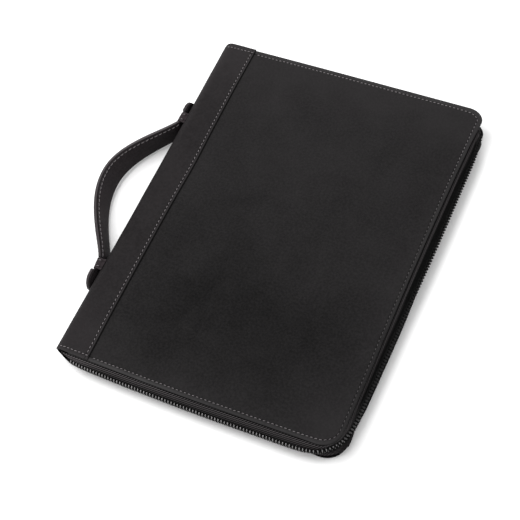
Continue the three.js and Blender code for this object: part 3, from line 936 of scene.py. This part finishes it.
def make_slider():
    """Two shields held by a post, and a pull with a slot, hung on a bridge along the far edge."""
    st = Sizes(x=np.array([SLIDER.x]), turn=np.array([2.0]))
    st.run = np.array([FREE_RUN + CASE_WIDTH])
    middle = float(far_edge(SLIDER.x) + chain_offset(st)[0]) + 0.6
    x, tail, nose = SLIDER.x, SLIDER.x - SLIDER.length / 2, SLIDER.x + SLIDER.length / 2
    back, front = middle - SLIDER.thick / 2, middle + SLIDER.thick / 2
    tall = SLIDER.height / 2
    sides = [(tail, 1.6), (tail + 2.2, tall), (nose, tall - 0.7)]
    lower = [(u, MID_Z - v) for u, v in sides]
    shield = lower[:1] + [(u, MID_Z + v) for u, v in sides] + lower[:0:-1]
    post = rounded(tail + 0.4, tail + 3.4, MID_Z - 1.2, MID_Z + 1.2, 0.5)
    bridge = rounded(x - 2.4, x + 2.6, MID_Z - 3.6, MID_Z - 2.6, 0.4)
    pull_y = CASE_LENGTH + CHAIN_OUT.far + CHAIN_THICK / 2 + SEAT
    start, low = x - PULL.back, MID_Z - PULL.drop
    high = low + PULL.width
    tab = rounded(start, start + PULL.length, low, high, PULL.round)
    slot = rounded(x - 1.6, x + 2.4, low + PULL.rim, high - PULL.rim, 1.2)
    shape = join([
        plate(shield, front - SLIDER.plate, front, SLIDER.bevel),
        plate(shield, back, back + SLIDER.plate, SLIDER.bevel),
        plate(post, back + 0.8, front - 0.8, 0.2),
        plate(bridge, front - 0.2, pull_y + 1.1, 0.25),
        ring_plate(tab, slot, pull_y, pull_y + PULL.thick),
    ])
    rub = np.ones(len(shape[0]))
    piece("zip_slider_metal", shape, SLIDER_METAL, ["zip_slider"], "zip_metal", rub=rub)


# Handle strap: an arch off the spine, a neck under each keeper and a rounded stop at each end
def arch_share(along):
    """Share of the strap's rise off the spine: 1 at the top of the arch, 0 from its feet on."""
    side = (along - ARCH_SKEW) / (ARCH_HALF - np.sign(along - ARCH_SKEW) * ARCH_SKEW)
    shape = np.where(side < 0, ARCH_SHAPE.near, ARCH_SHAPE.far)
    return np.where(np.abs(side) >= 1, 0, np.cos(np.clip(side, -1, 1) * math.pi / 2).clip(0) ** shape)


def strap_sizes(along):
    """Half width and thickness of the strap at each place along it."""
    a = np.abs(along)
    full, thin, end = STRAP_WIDTH / 2, NECK.width / 2, STOP.width / 2
    shoulder = np.sqrt(1 - np.clip(a - NECK.start + 1, 0, 1) ** 2)
    stop_rise = np.sqrt(1 - np.clip((STOP.shoulder - a) / (STOP.shoulder - NECK.end), 0, 1) ** 2)
    tip = np.sqrt(np.clip(end ** 2 - np.clip(a - STOP.tip + end, 0, end) ** 2, 0.2, None))
    stop = np.minimum(lerp(thin, end, stop_rise), tip)
    half = np.where(a < lerp(NECK.start, NECK.end, 0.5), lerp(thin, full, shoulder), stop)
    body = lerp(STRAP_END_THICK, STRAP_THICK, np.clip(3 * (1 - a / ARCH_HALF), 0, 1))
    thick = lerp(body, NECK.thick, smooth(NECK.start - 1.5, NECK.start, a))
    thick = lerp(thick, STOP.thick, smooth(NECK.end, STOP.shoulder, a))
    return half, thick


def end_lean(along):
    """Lean of the strap where it lies against the spine, from its near end to its far end."""
    return lerp(END_LEAN.near, END_LEAN.far, smooth(-END_LEAN.reach, END_LEAN.reach, along))


def strap_pad(along, up):
    """Swell of the padded face towards the middle of the strap."""
    half, _ = strap_sizes(along)
    full = fade(STRAP_PAD.end, NECK.start - 0.5, np.abs(along))
    return STRAP_PAD.high * (1 - np.clip(up / half, -1, 1) ** 2) * full


def strap_point(along, deep, up):
    """Points of the strap: deep is counted out from the face by the spine, up from its middle line."""
    share = arch_share(along)
    slope = -STRAP_RISE * (arch_share(along + 0.5) - arch_share(along - 0.5))
    size = np.hypot(1, slope)
    out_x, out_y = -1 / size, slope / size
    lean = lerp(end_lean(along), STRAP_LEAN, share ** 2.5)
    centre = strap_sizes(along)[1] / 2
    outer = deep - centre
    away = centre + outer * np.cos(lean) + up * np.sin(lean)
    z = MID_Z - outer * np.sin(lean) + up * np.cos(lean)
    x = -SEAT - STRAP_RISE * share + out_x * away
    return stacked(x, HANDLE_MIDDLE + along + out_y * away, z)


def make_strap():
    stretches = [(0, 75, 62), (75.6, 77, 14), (78, 88.4, 9), (88.7, 90, 9), (91, 94, 4)]
    tip = STOP.tip - STOP.round + STOP.round * np.sin(np.linspace(0, 1, 10) * math.pi / 2)
    steps = np.concatenate([*[np.linspace(*stretch) for stretch in stretches], tip])
    steps = np.clip(np.unique(np.round(steps, 3)), 0, STOP.tip - 0.02)
    along = np.concatenate([-steps[:0:-1], steps])[:, None]
    half, thick = strap_sizes(along)
    scale = np.minimum(thick / STRAP_THICK, 1)
    narrow = np.minimum(half / 6, 1)
    sewn = smooth(7, 10, half)
    face = np.linspace(-1, 1, 31)[None, :]

    # Inner face with one sewn row, outer face with a row by each edge
    inner_up = face * (half - 0.7 * narrow)
    inner_row = inner_up - (half - STRAP_STITCH)
    inner_deep = CHANNEL * bell(inner_row, CHANNEL_WIDTH) * sewn - strap_pad(along, inner_up)
    outer_up = -face * (half - 0.9 * narrow)
    crown = 0.5 * scale * (1 - (outer_up / half) ** 2) * sewn
    outer_row = np.abs(outer_up) - (half - STRAP_STITCH)
    outer_deep = thick + crown - CHANNEL * bell(outer_row, CHANNEL_WIDTH) * sewn - 0.25 * scale

    # Rim: depth from the inner face and distance in from the edge, with a groove between the two layers
    profile = [(0.08, 0.45), (0.2, 0.35), (0.3, 0.4), (0.4, 1.1), (1.2, 1.1), (1.35, 0.15), (1.62, 0.0)]
    back = [(0.8, 0.0), (0.42, 0.3)]
    rim_deep = np.concatenate([d * scale for d, _ in profile] + [thick - d * scale for d, _ in back], 1)
    rim_in = np.concatenate([inward * narrow for _, inward in profile + back], 1)
    up = np.concatenate([inner_up, half - rim_in, outer_up, rim_in[:, ::-1] - half], 1)
    deep = np.concatenate([inner_deep, rim_deep, outer_deep, rim_deep[:, ::-1]], 1)

    # Marks: rubbed outer layer with a painted highlight on its upturned edge, dark groove, dye that darkens
    # towards the far end
    rim, seam = np.zeros(rim_deep.shape[1]), np.zeros(rim_deep.shape)
    rim[5:9] = 1.0
    seam[:, 2:5] = 1.7
    plain = np.zeros(face.size)
    rubbed = lerp(lerp(0.27, 0.85, smooth(-45, 40, along)), 0.25, smooth(80, 88, np.abs(along)))
    inner_dark, outer_dark = bell(inner_row, 0.55) * sewn, bell(outer_row, 0.55) * sewn
    marks = {
        "wear_and_highlight": rubbed * np.concatenate([plain, rim, plain, rim[::-1]]) + 0.08,
        "dark_seams_and_shade": np.concatenate([inner_dark, seam, outer_dark, seam[:, ::-1]], 1),
        "tone": np.broadcast_to(lerp(0.3, -0.35, smooth(-50, 60, along)), up.shape),
    }
    shape = loft(strap_point(along, deep, up))
    piece("handle_strap_leather", shape, STRAP_LEATHER, ["handle_strap"], "strap_leather", **marks)


# Keepers: loops of leather over the necks of the strap, their feet sewn down on the spine band
def keeper_line(side):
    """Inner line of a keeper in x and z, from its upper foot over the neck to its lower foot."""
    angles = np.radians(np.linspace(*KEEPER.foot_angles, 5))
    foot_x = BAND_BULGE - (BAND_BULGE + SEAT) * np.cos(angles)
    foot = stacked(foot_x, (MID_Z + SEAT) * np.sin(angles))
    face = np.array([-2 * SEAT - NECK.thick, NECK.width / 2 + SEAT])
    bend = face + [[1.1, 0.3], [0.25, -0.5], [0.0, -1.8]]
    upper = np.concatenate([foot, bend])
    line = np.concatenate([upper, upper[::-1] * [1, -1]])
    run = lengths(line)
    line = read_off(np.linspace(0, run[-1], KEEPER.points), run, line)
    for _ in range(3):
        line[1:-1] = (line[:-2] + 2 * line[1:-1] + line[2:]) / 4
    held = np.where(line[:, 1] > 0, fade(9, 11, line[:, 1]), fade(3, 7, -line[:, 1]))
    line[:, 0] -= math.tan(end_lean(side * NECK.start)) * line[:, 1] * held
    along = np.gradient(line, axis=0)
    return line, unit(stacked(along[:, 1], -along[:, 0])), run[-1]


def keeper_face(side, across, lift):
    """Points of a keeper at places across its width, raised by lift from its inner line."""
    line, normal, _ = keeper_line(side)
    place = line[:, None, :] + normal[:, None, :] * lift[..., None]
    y = HANDLE_MIDDLE + side * (KEEPER.start + across)
    drawn = KEEPER.draw * (1 - side) / 2 * across / (KEEPER.end - KEEPER.start)
    x = place[..., 0] + drawn * fade(-2, 3, place[..., 0])
    return stacked(x, y, MID_Z + place[..., 1])


def make_keepers():
    width = KEEPER.end - KEEPER.start
    _, _, length = keeper_line(1)
    across = graded(width, [0, 0.12, 0.35, 0.7, 1.2, 1.7, 2.1, 2.4, 2.7, 3.1, 3.8], 0.8)[None, :]
    along = np.linspace(0, length, KEEPER.points)[:, None]
    from_edge = np.minimum(across, width - across)
    from_foot = np.minimum(along, length - along)
    left = rounding(from_edge, 0.6) * (0.08 + 0.92 * smooth(0, 4, from_foot))
    channel = 0.3 * bell(from_edge - KEEPER_STITCH, 0.6)
    marks = {
        "wear_and_highlight": np.broadcast_to(0.22 + 0.4 * bell(from_edge, 0.7), left.shape),
        "dark_seams_and_shade": np.broadcast_to(bell(from_edge - KEEPER_STITCH, 0.5), left.shape),
    }
    for name, node, side in (("keeper_near_leather", "handle_keeper_near", -1),
                             ("keeper_far_leather", "handle_keeper_far", 1)):
        outer = keeper_face(side, across, (KEEPER.wall - channel) * left)
        inner = keeper_face(side, across, 0 * left)
        piece(name, sheet(outer, inner), KEEPER_LEATHER, [node], "band_leather", **marks)


# Stitches: short arched lengths of thread, each end sunk in its hole
def thread_shape():
    sides = 7
    turns = np.arange(sides) * 2 * math.pi / sides
    rings = []
    for t in np.linspace(-1, 1, 7):
        radius = THREAD / 2 * (0.35 + 0.65 * math.sqrt(1 - 0.9 * t * t))
        height = 0.3 * (1 - t * t) - 0.12
        z = height + 0.8 * radius * np.sin(turns)
        rings.append(stacked(t * STITCH_LENGTH / 2, radius * np.cos(turns), z))
    return loft(np.array(rings))


def stitch_row(path, normal, pitch=STITCH_PITCH.free, size=1.0, long=1.0, counted=None, dull=0.0):
    """Thread along a path on a surface, one stitch a pitch, each a little off true, and how dull each is.
    Where a count along the path is given, a stitch lies at each whole number of it."""
    run = lengths(path)
    if counted is None:
        count = max(round(run[-1] / pitch), 1)
        at = (np.arange(count) + 0.5) * run[-1] / count
    else:
        at = np.interp(np.arange(math.ceil(counted[0]), counted[-1]), counted, run)
        count = len(at)
    along = unit(read_off(at, run, np.gradient(path, run, axis=0)))
    up = read_off(at, run, normal)
    up = unit(up - along * (up * along).sum(1, keepdims=True))
    side = np.cross(up, along)
    turn = np.radians(rng.normal(7, 2.5, count))[:, None]
    stretch = long * rng.normal(1, 0.05, count)[:, None]
    slanted = along * np.cos(turn) + side * np.sin(turn)
    across = side * np.cos(turn) - along * np.sin(turn)
    place = read_off(at, run, path) + side * rng.normal(0, 0.06, count)[:, None]
    template, faces = thread_shape()
    shape = stamp(template * size, faces, place, (slanted * stretch, across, up))
    faded = np.interp(at, run, np.broadcast_to(dull, run.shape))
    return shape, np.repeat(faded, len(template))


def cover_rows(back):
    """The row round a cover's rim, on over both ends of the band's leaf, and the row by the leaf's edge."""
    st = free_sides(BAND_LEAF + 1.4, 1.0)
    sunk = CHANNEL * 0.7
    up, z = (-1.0, BACK_RELIEF + sunk) if back else (1.0, FRONT_TOP - sunk)
    rim = outward(st, -rim_row(st), z)
    counted = paced_row(rim, st, STITCH_PITCH)
    dull = by_side(st, ROW_DULL) * lerp(1.0, 0.4, smooth(200, 310, st.run))
    rows = [stitch_row(rim, np.zeros_like(rim) + [0, 0, up], counted=counted, dull=dull)]
    width = band_surface(np.zeros(1))[4]
    reach = np.linspace(0.6, 24 if back else 29, 40)
    across = width - reach if back else reach
    ends = (RIM_STITCH.near, CASE_LENGTH - RIM_STITCH.far)
    for end in ends:
        rows.append(stitch_row(*band_point(across, np.full(len(across), end), -sunk), STITCH_PITCH.near))
    along = np.linspace(ends[0] + 1.6, ends[1] - 1.6, 300)
    leaf = np.full(len(along), width - BAND_STITCH if back else BAND_STITCH)
    rows.append(stitch_row(*band_point(leaf, along, -sunk)))
    return rows


def strap_rows():
    """One row by the inner face's upper edge, and one by each edge of the outer face."""
    rows = []
    along = np.linspace(-STRAP_ROW_HALF, STRAP_ROW_HALF, 240)
    half, thick = strap_sizes(along)
    sunk = CHANNEL * 0.3
    for face, side in ((-1, 1), (1, -1), (1, 1)):
        up = side * (half - STRAP_STITCH)
        deep = thick - sunk if face > 0 else sunk - strap_pad(along, up)
        path = strap_point(along, deep, up)
        normal = strap_point(along, deep + face, up) - path
        rows.append(stitch_row(path, normal, STRAP_PITCH, size=1.25, long=1.2))
    return rows


def keeper_rows():
    """A row by each edge of each keeper, stopping short of its feet."""
    rows = []
    width = KEEPER.end - KEEPER.start
    inside = slice(5, -5)
    for side in (-1, 1):
        line, normal, _ = keeper_line(side)
        face = stacked(normal[:, 0], 0, normal[:, 1])
        lift = np.full((len(line), 1), KEEPER.wall - 0.2)
        for across in (KEEPER_STITCH, width - KEEPER_STITCH):
            path = keeper_face(side, np.array([[across]]), lift)[:, 0]
            rows.append(stitch_row(path[inside], face[inside], KEEPER_PITCH, size=0.95))
    return rows


def make_stitches():
    for name, rows in (("stitches_front", cover_rows(False)), ("stitches_back", cover_rows(True)),
                       ("stitches_strap", strap_rows()), ("stitches_keepers", keeper_rows())):
        shapes, dull = zip(*rows)
        piece(name, join(shapes), STITCH_THREAD, dull=np.concatenate(dull))


# Camera, floor and soft studio light
def make_camera():
    data = bpy.data.cameras.new("camera")
    data.lens = CAMERA_LENS
    data.sensor_width = CAMERA_SENSOR
    camera = show("camera", data)
    camera.location = CAMERA_PLACE
    camera.rotation_euler = [math.radians(angle) for angle in CAMERA_TURN]
    bpy.context.scene.camera = camera


def make_floor():
    mesh = bpy.data.meshes.new("floor")
    half = FLOOR_SIZE / 2
    corners = ((-half, -half), (half, -half), (half, half), (-half, half))
    mesh.from_pydata([(x, y, -FLOOR_DROP) for x, y in corners], [], [(0, 1, 2, 3)])
    mesh.materials.append(pale_floor())
    floor = show("floor", mesh)


def area_light(name, sizes):
    data = bpy.data.lights.new(name, "AREA")
    data.shape = "DISK"
    data.size = sizes.size
    data.energy = sizes.power
    lamp = show(name, data)
    lamp.location = sizes.place
    lamp.rotation_euler = (-Vector(sizes.place)).to_track_quat("-Z", "Y").to_euler()


def make_light():
    area_light("softbox", SOFTBOX)
    area_light("back", BACK_LIGHT)
    world = bpy.data.worlds.new("studio")
    world.use_nodes = True
    background = world.node_tree.nodes["Background"]
    background.inputs["Color"].default_value = (1.0, 1.0, 1.0, 1.0)
    background.inputs["Strength"].default_value = SKY
    bpy.context.scene.world = world
    bpy.context.scene.view_settings.view_transform = "Standard"


make_camera()
make_floor()
make_light()
make_covers()
make_band()
make_tapes()
make_teeth()
make_slider()
make_strap()
make_keepers()
make_stitches()
